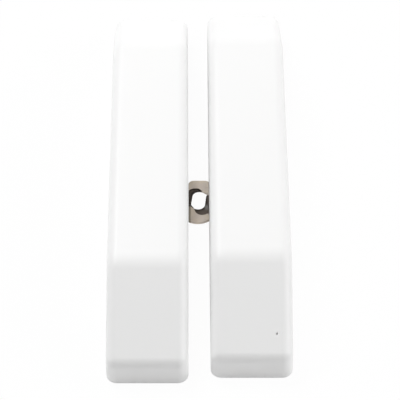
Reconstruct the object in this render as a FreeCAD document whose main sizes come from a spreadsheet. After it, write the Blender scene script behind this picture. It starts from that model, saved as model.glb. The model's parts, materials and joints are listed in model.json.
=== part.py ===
import FreeCAD, Part
import math
import os
import re

import Sketcher
from FreeCAD import Rotation, Vector

# Magnetic door contact: a sensor unit and a magnet unit in matching long housings,
# with a steel fixing lug that stands out of the sensor unit into the gap between them.
# X runs across both units, Y away from the near end, Z up from the mounting plane.
# The origin is on the mounting plane, at the middle of the whole set.

os.makedirs("parts", exist_ok=True)
doc = FreeCAD.newDocument("door_contact")
sheet = doc.addObject("Spreadsheet::Sheet", "Sizes")

# Driving sizes, in millimetres
sizes = {
    # both housings
    "unit_length": 125,
    "unit_width": 20,
    "unit_height": 19,
    "end_height": 6.9,
    "bevel_run": 23.5,
    "edge_round": 2.7,
    "nose_round": 3,
    "crease_round": 10,
    "shell": 1.6,
    "units_gap": 5.4,
    "stagger": 1.7,
    # bases
    "base_play": 0.2,
    "base_floor": 1.8,
    "rim_height": 3.7,
    "rim_wall": 1.2,
    "mount_radius": 1.8,
    "mount_inset": 8.5,
    "boss_radius": 2.2,
    "pilot_radius": 0.85,
    # cover screws in the far ends
    "cover_screw_edge": 4.4,
    "cover_screw_rise": 3.4,
    "cover_boss_width": 3.2,
    "cover_boss_length": 6,
    "cover_boss_height": 3.6,
    # small screws
    "shank_radius": 0.8,
    "screw_play": 0.2,
    "head_radius": 1.8,
    "head_height": 0.9,
    "shank_length": 3,
    "recess_width": 0.5,
    "recess_depth": 0.4,
    # circuit board
    "board_thickness": 1.2,
    "board_lift": 4,
    "board_play": 0.6,
    "board_inset": 3.4,
    "board_gap": 6,
    "driver_radius": 4,
    "near_boss_side": 5.4,
    "near_boss_inset": 14,
    "far_boss_inset": 3,
    # indicator
    "pinhole_edge": 4,
    "pinhole_inset": 5.7,
    "pinhole_radius": 0.27,
    "led_length": 1.6,
    "led_width": 1.2,
    "led_height": 0.7,
    "pipe_radius": 0.8,
    "pipe_play": 0.1,
    "pipe_depth": 1.1,
    # reed switch
    "reed_edge": 4.3,
    "reed_inset": 26.5,
    "reed_radius": 1.1,
    "reed_glass": 13,
    "reed_span": 19,
    "lead_radius": 0.3,
    # components on the board
    "can_length": 13,
    "can_width": 8.6,
    "can_height": 2.2,
    "can_side": 2.4,
    "can_back": 28,
    "chip_width": 4.6,
    "chip_height": 0.9,
    "chip_side": 2.1,
    "chip_back": 8.5,
    "aerial_span": 8.8,
    "aerial_back": 5.4,
    "aerial_rise": 2.6,
    "aerial_radius": 0.4,
    # tamper switch
    "tamper_side": 2.6,
    "tamper_back": 14.5,
    "tamper_width": 7,
    "tamper_roof": 1,
    "plunger_radius": 1.2,
    "plunger_play": 0.3,
    "plunger_travel": 1.5,
    "collar_radius": 1.8,
    "collar_height": 0.8,
    "spring_wire": 0.15,
    "spring_radius": 1.3,
    "spring_room": 3,
    "spring_gap": 0.05,
    "spring_turns": 4,
    # battery and its contacts
    "cell_radius": 5.25,
    "cell_length": 43.5,
    "cell_nub_radius": 1.9,
    "cell_nub": 1,
    "cell_lift": 0.4,
    "cell_play": 0.15,
    "cell_inset": 15.2,
    "contact_thickness": 0.4,
    "contact_width": 9,
    "contact_height": 8,
    "contact_bow": 2.6,
    "contact_wall": 1.2,
    "tail_width": 2.4,
    "tail_side": 3.4,
    "contact_wall_height": 6.5,
    "cradle_rib": 1.6,
    "cradle_height": 4,
    "cradle_gap": 0.5,
    "wire_radius": 0.5,
    "wire_play": 0.3,
    # fixing lug
    "lug_length": 15.2,
    "lug_thickness": 0.6,
    "lug_end_gap": 0.1,
    "lug_tuck": 0.35,
    "lug_corner": 1.35,
    "lug_end_radius": 4.85,
    "lug_end_edge": 2.4,
    "slot_edge": 2.65,
    "slot_radius": 1.8,
    "slot_length": 6.5,
    "slot_shift": 0.7,
    "slot_lean": 7,
    "slot_notch": 2.45,
    "sink_radius": 1.95,
    "sink_length": 9.9,
    "sink_lean": 17.5,
    "sink_depth": 0.3,
    "tongue_width": 7,
    "tongue_shift": 3.7,
    "tongue_reach": 4.6,
    "tongue_gap": 2.75,
    # magnet and its carrier
    "magnet_length": 24,
    "magnet_width": 8,
    "magnet_height": 8,
    "magnet_round": 0.5,
    "magnet_play": 0.1,
    "carrier_wall": 1,
    "carrier_floor": 1.2,
    "carrier_depth": 5.2,
    "carrier_foot": 4.8,
    "rib_thickness": 1.2,
}
for row, (alias, number) in enumerate(sizes.items(), start=1):
    sheet.set("A%d" % row, alias.replace("_", " "))
    sheet.set("B%d" % row, str(number))
    sheet.setAlias("B%d" % row, alias)
doc.recompute()

subparts = {}


# Expressions: each alias gets the sheet's name in front of it
def ex(text):
    return re.sub(r"[a-z][a-z_]*", lambda m: "Sizes." + m[0] if m[0] in sizes else m[0], text)


def value(text):
    return float(sheet.evalExpression(ex(text)))


def bind(item, prop, text):
    item.setExpression(prop, ex(text))


# Places that several pieces share, in a unit's own frame (origin at the middle of its back)
SLOPE = "((unit_height - end_height) / bevel_run)"
SLANT = "(hypot(bevel_run; unit_height - end_height) / bevel_run)"
BASE_END = "(unit_length / 2 - shell - base_play)"
BASE_SIDE = "(unit_width / 2 - shell - base_play)"
MOUNT_SPAN = "(unit_length / 2 - mount_inset)"
BOARD_NEAR = "(-unit_length / 2 + board_inset)"
BOARD_TOP = "(board_lift + board_thickness)"
PIPE_X = "(unit_width / 2 - pinhole_edge)"
PIPE_Y = "(-unit_length / 2 + pinhole_inset)"
PIPE_SKIN = "(end_height + %s * pinhole_inset)" % SLOPE
COVER_SCREW_X = "(-unit_width / 2 + cover_screw_edge)"
COLLAR_Z = "(%s + plunger_travel + plunger_play)" % BOARD_TOP
SPRING_Z = "(%s + collar_height)" % COLLAR_Z
ROOF_Z = "(%s + spring_room)" % SPRING_Z
CELL_Z = "(base_floor + cell_lift + cell_radius)"
CELL_FAR = "(unit_length / 2 - cell_inset)"
CELL_NEAR = "(%s - cell_nub - cell_length)" % CELL_FAR
NEAR_WALL_Y = "(%s - contact_bow - contact_wall)" % CELL_NEAR
FAR_WALL_Y = "(%s + contact_thickness)" % CELL_FAR
WIRE_X = "(%s - rim_wall - wire_play - wire_radius)" % BASE_SIDE
CRADLE_WIDTH = "(2 * (%s - wire_radius - cradle_gap))" % WIRE_X
BOARD_FAR = "(%s - board_gap)" % NEAR_WALL_Y
TAMPER_Y = "(%s - tamper_back)" % BOARD_FAR
TONGUE_Y = "(%s - tongue_gap - tongue_width / 2)" % NEAR_WALL_Y
LUG_Y = "(%s + tongue_shift)" % TONGUE_Y
EAR_LEFT = "(-unit_width / 2 - units_gap + lug_end_gap)"
EAR_RIGHT = "(-unit_width / 2 + lug_tuck)"
EAR_FAR = "(%s + lug_length / 2)" % LUG_Y
EAR_END_X = "(%s + lug_end_edge)" % EAR_LEFT
EAR_END_Y = "(%s - lug_length / 2 + lug_end_radius)" % LUG_Y
SLOT_X = "(%s + slot_edge)" % EAR_LEFT
SLOT_FAR = "(%s + slot_shift + slot_length / 2 - slot_radius)" % LUG_Y
TONGUE_END = "(-%s + tongue_reach)" % BASE_SIDE
LUG_SCREW_X = "(%s - tongue_reach / 2)" % TONGUE_END
MAGNET_Y = "(%s + reed_inset + stagger)" % BOARD_NEAR
MAGNET_Z = "(base_floor + carrier_floor)"
FOOT_SPAN = "(magnet_length / 2 + magnet_play + (carrier_foot + carrier_wall) / 2)"
CARRIER_WIDTH = "(magnet_width + 2 * magnet_play + 2 * carrier_wall)"
CARRIER_LENGTH = "(magnet_length + 2 * magnet_play + 2 * carrier_foot)"
MAGNET_X = "(%s - rim_wall - base_play - %s / 2)" % (BASE_SIDE, CARRIER_WIDTH)


# Sketches and features
def new_body(name):
    body = doc.addObject("PartDesign::Body", name)
    body.Label = name
    return body


def sketch(body, name, role="XY_Plane", lift="0"):
    item = body.newObject("Sketcher::SketchObject", name)
    plane = next(o for o in body.Origin.OriginFeatures if o.Role == role)
    item.AttachmentSupport = (plane, "")
    item.MapMode = "FlatFace"
    if lift != "0":
        bind(item, "AttachmentOffset.Base.z", lift)
    return item


def limit(item, kind, elements, text):
    index = item.addConstraint(Sketcher.Constraint(kind, *elements, value(text)))
    bind(item, "Constraints[%d]" % index, text)


def locate(item, element, point, x, y):
    for kind, axis, text in (("DistanceX", -2, x), ("DistanceY", -1, y)):
        if text == "0":
            item.addConstraint(Sketcher.Constraint("PointOnObject", element, point, axis))
        else:
            limit(item, kind, (-1, 1, element, point), text)


def polygon(item, corners):
    first = item.GeometryCount
    spots = [Vector(value(x), value(y), 0) for x, y in corners]
    count = len(spots)
    for k in range(count):
        item.addGeometry(Part.LineSegment(spots[k], spots[(k + 1) % count]))
    for k in range(count):
        after = first + (k + 1) % count
        item.addConstraint(Sketcher.Constraint("Coincident", first + k, 2, after, 1))
    for k in range(count):
        locate(item, first + k, 1, *corners[k])


def rectangle(item, width, depth, x="0", y="0"):
    first = item.GeometryCount
    middle = Vector(value(x), value(y), 0)
    half = Vector(value(width) / 2, value(depth) / 2, 0)
    corners = [middle + Vector(half.x * a, half.y * b, 0) for a, b in ((-1, -1), (1, -1), (1, 1), (-1, 1))]
    for k in range(4):
        item.addGeometry(Part.LineSegment(corners[k], corners[(k + 1) % 4]))
    centre = item.addGeometry(Part.Point(middle), True)
    for k in range(4):
        after = first + (k + 1) % 4
        item.addConstraint(Sketcher.Constraint("Coincident", first + k, 2, after, 1))
        item.addConstraint(Sketcher.Constraint("Vertical" if k % 2 else "Horizontal", first + k))
    item.addConstraint(Sketcher.Constraint("Symmetric", first, 1, first + 1, 2, centre, 1))
    limit(item, "DistanceX", (first, 1, first, 2), width)
    limit(item, "DistanceY", (first + 1, 1, first + 1, 2), depth)
    locate(item, centre, 1, x, y)


def circle(item, radius, x="0", y="0"):
    middle = Vector(value(x), value(y), 0)
    ring = item.addGeometry(Part.Circle(middle, Vector(0, 0, 1), value(radius)))
    limit(item, "Radius", (ring,), radius)
    locate(item, ring, 3, x, y)


def slot(item, radius, length):
    spread = Vector(0, value("(%s) / 2 - (%s)" % (length, radius)), 0)
    side = Vector(value(radius), 0, 0)
    up = Vector(0, 0, 1)
    far = item.addGeometry(Part.ArcOfCircle(Part.Circle(spread, up, side.x), 0, math.pi))
    near = item.addGeometry(Part.ArcOfCircle(Part.Circle(-spread, up, side.x), math.pi, 2 * math.pi))
    left = item.addGeometry(Part.LineSegment(spread - side, -spread - side))
    right = item.addGeometry(Part.LineSegment(side - spread, side + spread))
    for pair in ((far, 2, left, 1), (left, 2, near, 1), (near, 2, right, 1), (right, 2, far, 1)):
        item.addConstraint(Sketcher.Constraint("Tangent", *pair))
    item.addConstraint(Sketcher.Constraint("Vertical", left))
    item.addConstraint(Sketcher.Constraint("Symmetric", far, 3, near, 3, -1, 1))
    limit(item, "Radius", (far,), radius)
    limit(item, "DistanceY", (near, 3, far, 3), "(%s) - 2 * (%s)" % (length, radius))


def volume(body):
    return body.Tip.Shape.Volume if body.Tip else 0


def pad(body, profile, length, middle=False):
    item = body.newObject("PartDesign::Pad", profile.Name + "_pad")
    item.Profile = profile
    item.Midplane = middle
    bind(item, "Length", length)
    doc.recompute()
    return item


def pocket(body, profile, depth=None, middle=False, back=False):
    before = volume(body)
    item = body.newObject("PartDesign::Pocket", profile.Name + "_pocket")
    item.Profile = profile
    item.Midplane = middle
    item.Reversed = back
    if depth is None:
        item.Type = "ThroughAll"
    else:
        bind(item, "Length", depth)
    doc.recompute()
    if body.Tip.Shape.Volume > before - 1e-6:
        raise ValueError("%s cuts nothing" % item.Name)
    return item


def chosen_edges(shape, test):
    return ["Edge%d" % (k + 1) for k, edge in enumerate(shape.Edges) if test(edge)]


def dress(body, kind, prop, size, test):
    base = body.Tip
    item = body.newObject("PartDesign::" + kind, "%s_%s" % (body.Name, kind.lower()))
    item.Base = (base, chosen_edges(base.Shape, test))
    bind(item, prop, size)
    doc.recompute()
    return item


def upright(edge):
    box = edge.BoundBox
    return box.XLength < 1e-4 and box.YLength < 1e-4 and box.ZLength > 1e-3


def crosswise(edge):
    box = edge.BoundBox
    return box.YLength < 1e-4 and box.ZLength < 1e-4 and box.XLength > 1e-3


# Primitives and booleans
def block(name, width, depth, height, x="0", y="0", z="0"):
    item = doc.addObject("Part::Box", name)
    bind(item, "Length", width)
    bind(item, "Width", depth)
    bind(item, "Height", height)
    bind(item, "Placement.Base.x", "(%s) - (%s) / 2" % (x, width))
    bind(item, "Placement.Base.y", "(%s) - (%s) / 2" % (y, depth))
    bind(item, "Placement.Base.z", z)
    return item


def turned(item, along):
    if along == "Y":
        item.Placement.Rotation = Rotation(Vector(1, 0, 0), -90)
    if along == "X":
        item.Placement.Rotation = Rotation(Vector(0, 1, 0), 90)


def rod(name, radius, length, x="0", y="0", z="0", along="Z"):
    item = doc.addObject("Part::Cylinder", name)
    turned(item, along)
    bind(item, "Radius", radius)
    bind(item, "Height", length)
    bind(item, "Placement.Base.x", x)
    bind(item, "Placement.Base.y", y)
    bind(item, "Placement.Base.z", z)
    return item


def ball(name, radius, x, y, z):
    item = doc.addObject("Part::Sphere", name)
    bind(item, "Radius", radius)
    bind(item, "Placement.Base.x", x)
    bind(item, "Placement.Base.y", y)
    bind(item, "Placement.Base.z", z)
    return item


def joined(name, shapes):
    item = doc.addObject("Part::MultiFuse", name)
    item.Shapes = shapes
    return item


def cut(name, base, tools):
    item = doc.addObject("Part::Cut", name)
    item.Base = base
    item.Tool = tools[0] if len(tools) == 1 else joined(name + "_tools", tools)
    return item


# A finished sub-part is placed with its unit: the sensor unit on the right, the magnet unit on the left
def finish(name, item, side, x="0", y="0", z="0"):
    item.Label = name
    sign = "" if side == "sensor" else "-"
    bind(item, "Placement.Base.x", "%s(units_gap + unit_width) / 2 + %s" % (sign, x))
    bind(item, "Placement.Base.y", "%sstagger / 2 + %s" % (sign, y))
    bind(item, "Placement.Base.z", z)
    subparts[name] = item


# Housing form: a long bar with a sloping face at each end, rounded all round
def bar_form(name, inset):
    body = new_body(name)
    height = "(unit_height - %s)" % inset
    low = "(end_height + %s * %s - %s * %s)" % (inset, SLOPE, inset, SLANT)
    end = "(-unit_length / 2 + %s)" % inset
    crest = "(%s + (%s - %s) / %s)" % (end, height, low, SLOPE)
    plan = sketch(body, name + "_plan")
    rectangle(plan, "unit_width - 2 * %s" % inset, "unit_length - 2 * %s" % inset)
    pad(body, plan, height)
    side = sketch(body, name + "_slope", "YZ_Plane")
    polygon(side, [
        (end, low),
        (crest, height),
        (crest, height + " + 1"),
        (end + " - 1", height + " + 1"),
        (end + " - 1", low),
    ])
    slope = pocket(body, side, middle=True)
    both = body.newObject("PartDesign::Mirrored", name + "_slopes")
    both.Originals = [slope]
    both.MirrorPlane = (next(o for o in body.Origin.OriginFeatures if o.Role == "XZ_Plane"), [""])
    body.Tip = both
    doc.recompute()
    nose_z = value(low)
    top_z = value(height)
    dress(body, "Fillet", "Radius", "max(nose_round - %s; 0.4)" % inset,
          lambda e: crosswise(e) and abs(e.CenterOfMass.z - nose_z) < 1e-3)
    dress(body, "Fillet", "Radius", "max(crease_round - %s; 1)" % inset,
          lambda e: crosswise(e) and abs(e.CenterOfMass.z - top_z) < 1e-3)
    side_x = value("unit_width / 2 - %s" % inset)
    dress(body, "Fillet", "Radius", "max(edge_round - %s; 0.4)" % inset,
          lambda e: abs(abs(e.CenterOfMass.x) - side_x) < 1e-3 and e.BoundBox.ZMax > 1e-3)
    return body


# Cover: the housing form hollowed from below, with its screw hole in the far end
def cover_tools(name):
    x = COVER_SCREW_X
    hole = rod(name + "_hole", "shank_radius + screw_play", "3 * shell", x, "unit_length / 2 - 2 * shell",
               "cover_screw_rise", "Y")
    seat = rod(name + "_seat", "head_radius + screw_play", "2 * shell", x, "unit_length / 2 - head_height",
               "cover_screw_rise", "Y")
    return [hole, seat]


def cover(name, side, openings):
    outside = bar_form(name + "_outside", "0")
    inside = bar_form(name + "_inside", "shell")
    item = cut(name, outside, [inside] + cover_tools(name) + openings)
    finish(name, item, side)


pinhole = rod("pinhole", "pinhole_radius", "3 * shell", PIPE_X, PIPE_Y, PIPE_SKIN + " - 2 * shell")
tongue_notch = block("tongue_notch", "4 * shell", "tongue_width + 4 * base_play",
                     "base_floor + lug_thickness + 2 * base_play", "-unit_width / 2", TONGUE_Y)
ear_notch = block("ear_notch", "2 * shell", "lug_length + 2 * base_play", "lug_thickness + base_play",
                  "-unit_width / 2", LUG_Y)
cover("sensor_cover", "sensor", [pinhole, tongue_notch, ear_notch])
cover("magnet_cover", "magnet", [])


# Base: a tray inside the cover, with two mounting holes and the boss for the cover screw
def base_tray(name):
    body = new_body(name)
    plan = sketch(body, name + "_plan")
    rectangle(plan, "2 * " + BASE_SIDE, "2 * " + BASE_END)
    pad(body, plan, "rim_height")
    well = sketch(body, name + "_well", lift="rim_height")
    rectangle(well, "2 * (%s - rim_wall)" % BASE_SIDE, "2 * (%s - rim_wall)" % BASE_END)
    pocket(body, well, "rim_height - base_floor")
    dress(body, "Fillet", "Radius", "max(edge_round - shell - base_play; 0.4)",
          lambda e: upright(e) and abs(abs(e.CenterOfMass.x) - value(BASE_SIDE)) < 1e-3)
    screw_boss = sketch(body, name + "_screw_boss", lift="base_floor / 2")
    rectangle(screw_boss, "cover_boss_width", "cover_boss_length", COVER_SCREW_X,
              BASE_END + " - cover_boss_length / 2")
    pad(body, screw_boss, "base_floor / 2 + cover_boss_height")
    return body


def base_holes(body):
    mounts = sketch(body, body.Name + "_mounts", lift="base_floor")
    circle(mounts, "mount_radius", "0", MOUNT_SPAN)
    circle(mounts, "mount_radius", "0", "-" + MOUNT_SPAN)
    pocket(body, mounts)
    pilot = sketch(body, body.Name + "_cover_pilot", "XZ_Plane", "-%s - 1" % BASE_END)
    circle(pilot, "pilot_radius", COVER_SCREW_X, "cover_screw_rise")
    pocket(body, pilot, "cover_boss_length + 1.5", back=True)


# Sensor base: bosses for the board, walls and a cradle for the battery, a hole for the tamper plunger
NEAR_BOSS = ("-near_boss_side", BOARD_NEAR + " + near_boss_inset")
FAR_BOSS = ("0", BOARD_FAR + " - far_boss_inset")

tray = base_tray("sensor_base")
bosses = sketch(tray, "board_bosses", lift="base_floor / 2")
circle(bosses, "boss_radius", *NEAR_BOSS)
circle(bosses, "boss_radius", *FAR_BOSS)
pad(tray, bosses, "board_lift - base_floor / 2")
walls = sketch(tray, "contact_walls", lift="base_floor / 2")
rectangle(walls, CRADLE_WIDTH, "contact_wall", "0", NEAR_WALL_Y + " + contact_wall / 2")
rectangle(walls, CRADLE_WIDTH, "contact_wall", "0", FAR_WALL_Y + " + contact_wall / 2")
pad(tray, walls, "base_floor / 2 + contact_wall_height")
ribs = sketch(tray, "cradle_ribs", lift="base_floor / 2")
for share in ("0.15", "0.5", "0.85"):
    rectangle(ribs, CRADLE_WIDTH, "cradle_rib", "0", "%s + cell_length * %s" % (CELL_NEAR, share))
pad(tray, ribs, "base_floor / 2 + cradle_height")
bed = sketch(tray, "cell_bed", "XZ_Plane", "-" + CELL_FAR)
circle(bed, "cell_radius + cell_play", "0", CELL_Z)
pocket(tray, bed, "cell_length + cell_nub - contact_wall", back=True)
base_holes(tray)
tail_way = sketch(tray, "tail_way", "XZ_Plane", "-" + NEAR_WALL_Y)
rectangle(tail_way, "tail_width + 2 * base_play", "contact_thickness + base_play", "tail_side",
          "base_floor + (contact_thickness + base_play) / 2")
pocket(tray, tail_way, "contact_wall")
pilots = sketch(tray, "board_pilots", lift="board_lift")
circle(pilots, "pilot_radius", *NEAR_BOSS)
circle(pilots, "pilot_radius", *FAR_BOSS)
pocket(tray, pilots, "board_lift - base_floor / 2")
lug_pilot = sketch(tray, "lug_pilot", lift="base_floor")
circle(lug_pilot, "pilot_radius", LUG_SCREW_X, TONGUE_Y)
circle(lug_pilot, "plunger_radius + plunger_play", "tamper_side", TAMPER_Y)
pocket(tray, lug_pilot)
doorway = sketch(tray, "lug_doorway", lift="rim_height")
rectangle(doorway, "2 * rim_wall", "tongue_width + 2 * base_play", "-%s" % BASE_SIDE, TONGUE_Y)
pocket(tray, doorway, "rim_height - base_floor")
finish("sensor_base", tray, "sensor")


# Circuit board
board = new_body("circuit_board")
board_plan = sketch(board, "board_plan", lift="board_lift")
rectangle(board_plan, "unit_width - 2 * shell - 2 * board_play", "%s - %s" % (BOARD_FAR, BOARD_NEAR), "0",
          "(%s + %s) / 2" % (BOARD_FAR, BOARD_NEAR))
pad(board, board_plan, "board_thickness")
dress(board, "Fillet", "Radius", "board_play", upright)
board_holes = sketch(board, "board_holes", lift=BOARD_TOP)
circle(board_holes, "shank_radius + screw_play", *NEAR_BOSS)
circle(board_holes, "shank_radius + screw_play", *FAR_BOSS)
circle(board_holes, "driver_radius", "0", "-" + MOUNT_SPAN)
circle(board_holes, "plunger_radius + plunger_play", "tamper_side", TAMPER_Y)
pocket(board, board_holes)
finish("circuit_board", board, "sensor")


# Screws: a round head with a cross recess on a plain shank
def screw(name, x, y, z, reach):
    head = rod(name + "_head", "head_radius", "head_height", x, y, z)
    shank = rod(name + "_shank", "shank_radius", reach, x, y, "%s - (%s)" % (z, reach))
    whole = joined(name + "_blank", [head, shank])
    top = "%s + head_height - recess_depth" % z
    recess = [
        block(name + "_recess_a", "1.3 * head_radius", "recess_width", "2 * recess_depth", x, y, top),
        block(name + "_recess_b", "recess_width", "1.3 * head_radius", "2 * recess_depth", x, y, top),
    ]
    return cut(name, whole, recess)


def cover_screw(name, side):
    x = COVER_SCREW_X
    y = "unit_length / 2 - head_height"
    z = "cover_screw_rise"
    head = rod(name + "_head", "head_radius", "head_height", x, y, z, "Y")
    shank = rod(name + "_shank", "shank_radius", "2 * shank_length", x, y + " - 2 * shank_length", z, "Y")
    whole = joined(name + "_blank", [head, shank])
    bottom = "unit_length / 2"
    recess = [
        block(name + "_recess_a", "1.3 * head_radius", "2 * recess_depth", "recess_width", x, bottom,
              z + " - recess_width / 2"),
        block(name + "_recess_b", "recess_width", "2 * recess_depth", "1.3 * head_radius", x, bottom,
              z + " - 0.65 * head_radius"),
    ]
    finish(name, cut(name, whole, recess), side)


near_screw = screw("near_board_screw", *NEAR_BOSS, BOARD_TOP, "shank_length")
far_screw = screw("far_board_screw", *FAR_BOSS, BOARD_TOP, "shank_length")
board_screws = doc.addObject("Part::Compound", "board_screws")
board_screws.Links = [near_screw, far_screw]
finish("board_screws", board_screws, "sensor")
cover_screw("sensor_cover_screw", "sensor")
cover_screw("magnet_cover_screw", "magnet")


# Reed switch: a sealed glass tube with a lead at each end, beside the wall that faces the magnet
REED_X = "(-unit_width / 2 + reed_edge)"
REED_Y = "(%s + reed_inset)" % BOARD_NEAR
REED_Z = "(%s + lead_radius + reed_radius)" % BOARD_TOP
reed_pieces = [
    rod("reed_glass_tube", "reed_radius", "reed_glass - 2 * reed_radius", REED_X,
        REED_Y + " - reed_glass / 2 + reed_radius", REED_Z, "Y"),
    rod("reed_lead", "lead_radius", "reed_span", REED_X, REED_Y + " - reed_span / 2", REED_Z, "Y"),
]
for end, sign in (("near", "-"), ("far", "+")):
    tip = "%s %s reed_span / 2" % (REED_Y, sign)
    cap = "%s %s (reed_glass / 2 - reed_radius)" % (REED_Y, sign)
    reed_pieces.append(ball("reed_cap_" + end, "reed_radius", REED_X, cap, REED_Z))
    reed_pieces.append(ball("reed_bend_" + end, "lead_radius", REED_X, tip, REED_Z))
    reed_pieces.append(rod("reed_foot_" + end, "lead_radius", "%s - %s" % (REED_Z, BOARD_TOP),
                           REED_X, tip, BOARD_TOP))
finish("reed_switch", joined("reed_switch", reed_pieces), "sensor")


# Components that stand on the board
def component(name, width, depth, height, x, y, edge):
    body = new_body(name)
    plan = sketch(body, name + "_plan", lift=BOARD_TOP)
    rectangle(plan, width, depth, x, y)
    pad(body, plan, height)
    top_z = value("%s + %s" % (BOARD_TOP, height))
    dress(body, "Chamfer", "Size", edge, lambda e: abs(e.BoundBox.ZMin - top_z) < 1e-3 or upright(e))
    finish(name, body, "sensor")


component("radio_module", "can_width", "can_length", "can_height", "can_side",
          BOARD_FAR + " - can_back", "can_height / 8")
component("microcontroller", "chip_width", "chip_width", "chip_height", "-chip_side",
          BOARD_FAR + " - chip_back", "chip_height / 5")
component("status_led", "led_length", "led_width", "led_height", PIPE_X, PIPE_Y, "led_height / 6")

AERIAL_Y = "(%s - aerial_back)" % BOARD_FAR
AERIAL_Z = "(%s + aerial_rise)" % BOARD_TOP
aerial_pieces = [
    rod("aerial_wire", "aerial_radius", "aerial_span", "-aerial_span / 2", AERIAL_Y, AERIAL_Z, "X"),
]
for end, sign in (("left", "-"), ("right", "")):
    tip = "%saerial_span / 2" % sign
    aerial_pieces.append(ball("aerial_bend_" + end, "aerial_radius", tip, AERIAL_Y, AERIAL_Z))
    aerial_pieces.append(rod("aerial_foot_" + end, "aerial_radius", "aerial_rise", tip, AERIAL_Y, BOARD_TOP))
finish("antenna", joined("antenna", aerial_pieces), "sensor")

PIPE_FOOT = "(%s + led_height + pipe_play)" % BOARD_TOP
PIPE_NECK = "(%s - shell * %s - pipe_radius * %s - pipe_play)" % (PIPE_SKIN, SLANT, SLOPE)
light_pipe = joined("light_pipe", [
    rod("pipe_body", "pipe_radius", "%s - %s" % (PIPE_NECK, PIPE_FOOT), PIPE_X, PIPE_Y, PIPE_FOOT),
    rod("pipe_tip", "pinhole_radius - pipe_play", "%s - pipe_depth - %s" % (PIPE_SKIN, PIPE_FOOT),
        PIPE_X, PIPE_Y, PIPE_FOOT),
])
finish("light_pipe", light_pipe, "sensor")


# Tamper switch: a sprung plunger that the mounting surface holds pressed in through the base
TAMPER = ("tamper_side", TAMPER_Y)
switch_body = cut("tamper_switch", block("tamper_housing", "tamper_width", "tamper_width",
                                         "%s + tamper_roof - %s" % (ROOF_Z, BOARD_TOP), *TAMPER, BOARD_TOP),
                  [rod("tamper_bore", "collar_radius + plunger_play", "%s - %s + 1" % (ROOF_Z, BOARD_TOP),
                       *TAMPER, BOARD_TOP + " - 1")])
finish("tamper_switch", switch_body, "sensor")
plunger = joined("tamper_plunger", [
    rod("plunger_stem", "plunger_radius", SPRING_Z, *TAMPER),
    rod("plunger_collar", "collar_radius", "collar_height", *TAMPER, COLLAR_Z),
])
finish("tamper_plunger", plunger, "sensor")

wire = value("spring_wire")
coil = value("spring_radius")
turns = value("spring_turns")
rise = value("spring_room - 2 * spring_wire - 2 * spring_gap")
steps = round(turns * 16)
coil_points = []
for k in range(steps + 1):
    angle = 2 * math.pi * turns * k / steps
    coil_points.append(Vector(coil * math.cos(angle), coil * math.sin(angle), rise * k / steps))
coil_line = Part.BSplineCurve()
coil_line.interpolate(coil_points)
wire_end = Part.Wire(Part.makeCircle(wire, coil_points[0], coil_line.tangent(coil_line.FirstParameter)[0]))
tamper_spring = doc.addObject("Part::Feature", "tamper_spring")
tamper_spring.Shape = Part.Wire(coil_line.toShape()).makePipeShell([wire_end], True, True)
finish("tamper_spring", tamper_spring, "sensor", *TAMPER, SPRING_Z + " + spring_wire + spring_gap")


# Battery: a sealed round cell with its positive nub towards the far end
battery = joined("battery", [
    rod("cell_can", "cell_radius", "cell_length", "0", CELL_NEAR, CELL_Z, "Y"),
    rod("cell_nub_pin", "cell_nub_radius", "cell_length + cell_nub", "0", CELL_NEAR, CELL_Z, "Y"),
])
finish("battery", battery, "sensor")

# Battery contacts: a bowed leaf at the near end and a flat plate at the far end
leaf = new_body("battery_spring_contact")
leaf_side = sketch(leaf, "leaf_side", "YZ_Plane")
LEAF_FOOT = "(%s - contact_bow)" % CELL_NEAR
LEAF_TOP = "(base_floor + contact_height)"
polygon(leaf_side, [
    (LEAF_FOOT, "base_floor"),
    (LEAF_FOOT + " + contact_thickness", "base_floor"),
    (LEAF_FOOT + " + contact_thickness", LEAF_TOP + " - contact_height / 4"),
    (CELL_NEAR + " - cell_play / 2", CELL_Z + " + contact_thickness"),
    (CELL_NEAR + " - cell_play / 2", CELL_Z + " + 3 * contact_thickness"),
    (LEAF_FOOT + " + contact_thickness", LEAF_TOP + " + contact_thickness"),
    (LEAF_FOOT, LEAF_TOP + " + contact_thickness"),
])
pad(leaf, leaf_side, "contact_width", middle=True)
leaf_tail = sketch(leaf, "leaf_tail", lift="base_floor")
TAIL_END = "(%s - 3 * contact_thickness)" % BOARD_FAR
rectangle(leaf_tail, "tail_width", "%s - %s + contact_thickness" % (LEAF_FOOT, TAIL_END), "tail_side",
          "(%s + %s + contact_thickness) / 2" % (LEAF_FOOT, TAIL_END))
pad(leaf, leaf_tail, "contact_thickness")
leaf_rise = sketch(leaf, "leaf_rise", lift="base_floor")
rectangle(leaf_rise, "tail_width", "contact_thickness", "tail_side", TAIL_END + " + contact_thickness / 2")
pad(leaf, leaf_rise, "board_lift - base_floor")
finish("battery_spring_contact", leaf, "sensor")
plate = doc.addObject("Part::Box", "battery_plate_contact")
bind(plate, "Length", "2 * %s + 2 * wire_radius" % WIRE_X)
bind(plate, "Width", "contact_thickness")
bind(plate, "Height", "contact_wall_height")
finish("battery_plate_contact", plate, "sensor", "-%s - wire_radius" % WIRE_X, CELL_FAR, "base_floor")

# Wire from the far contact back to the underside of the board
WIRE_Z = "(base_floor + wire_radius + base_play / 2)"
WIRE_NEAR = "(%s - 4 * wire_radius)" % BOARD_FAR
battery_wire = joined("battery_wire", [
    rod("wire_run", "wire_radius", "%s - %s" % (CELL_FAR, WIRE_NEAR), WIRE_X, WIRE_NEAR, WIRE_Z, "Y"),
    ball("wire_bend", "wire_radius", WIRE_X, WIRE_NEAR, WIRE_Z),
    rod("wire_rise", "wire_radius", "board_lift - %s" % WIRE_Z, WIRE_X, WIRE_NEAR, WIRE_Z),
])
finish("battery_wire", battery_wire, "sensor")


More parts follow.
